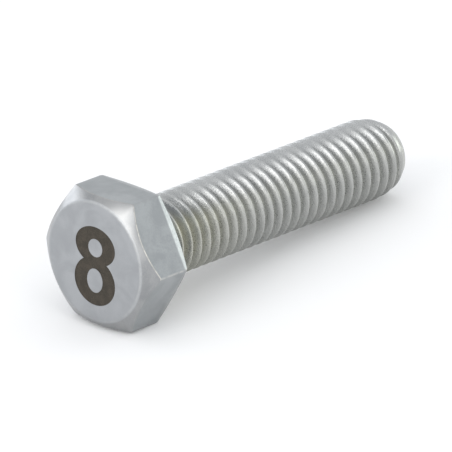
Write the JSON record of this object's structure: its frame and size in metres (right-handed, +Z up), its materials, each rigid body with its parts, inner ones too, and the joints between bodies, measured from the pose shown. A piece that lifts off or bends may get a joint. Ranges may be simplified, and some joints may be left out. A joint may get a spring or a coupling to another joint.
{
  "type": "hex head screw",
  "caption": "Metric hex head screw threaded up to the head, with a chamfered head, a fillet under it and a tapered lead at the end.",
  "frame": {"origin": "centre of the bearing face under the head, on the axis of the shank", "axes": "the screw lies at rest: +X runs from the head to the point, with the shank dipping 4.3 degrees below it, +Z is up, and a flat of the head faces up"},
  "size_m": [0.0408, 0.015, 0.0132],
  "materials": {
    "stainless_steel": "satin, as cold headed and thread rolled",
    "size_marking": "matt dark size figure marked on the end face of the head, added in the visual model"
  },
  "bodies": {
    "root": {"screw": "stainless_steel"}
  },
  "joints": []
}
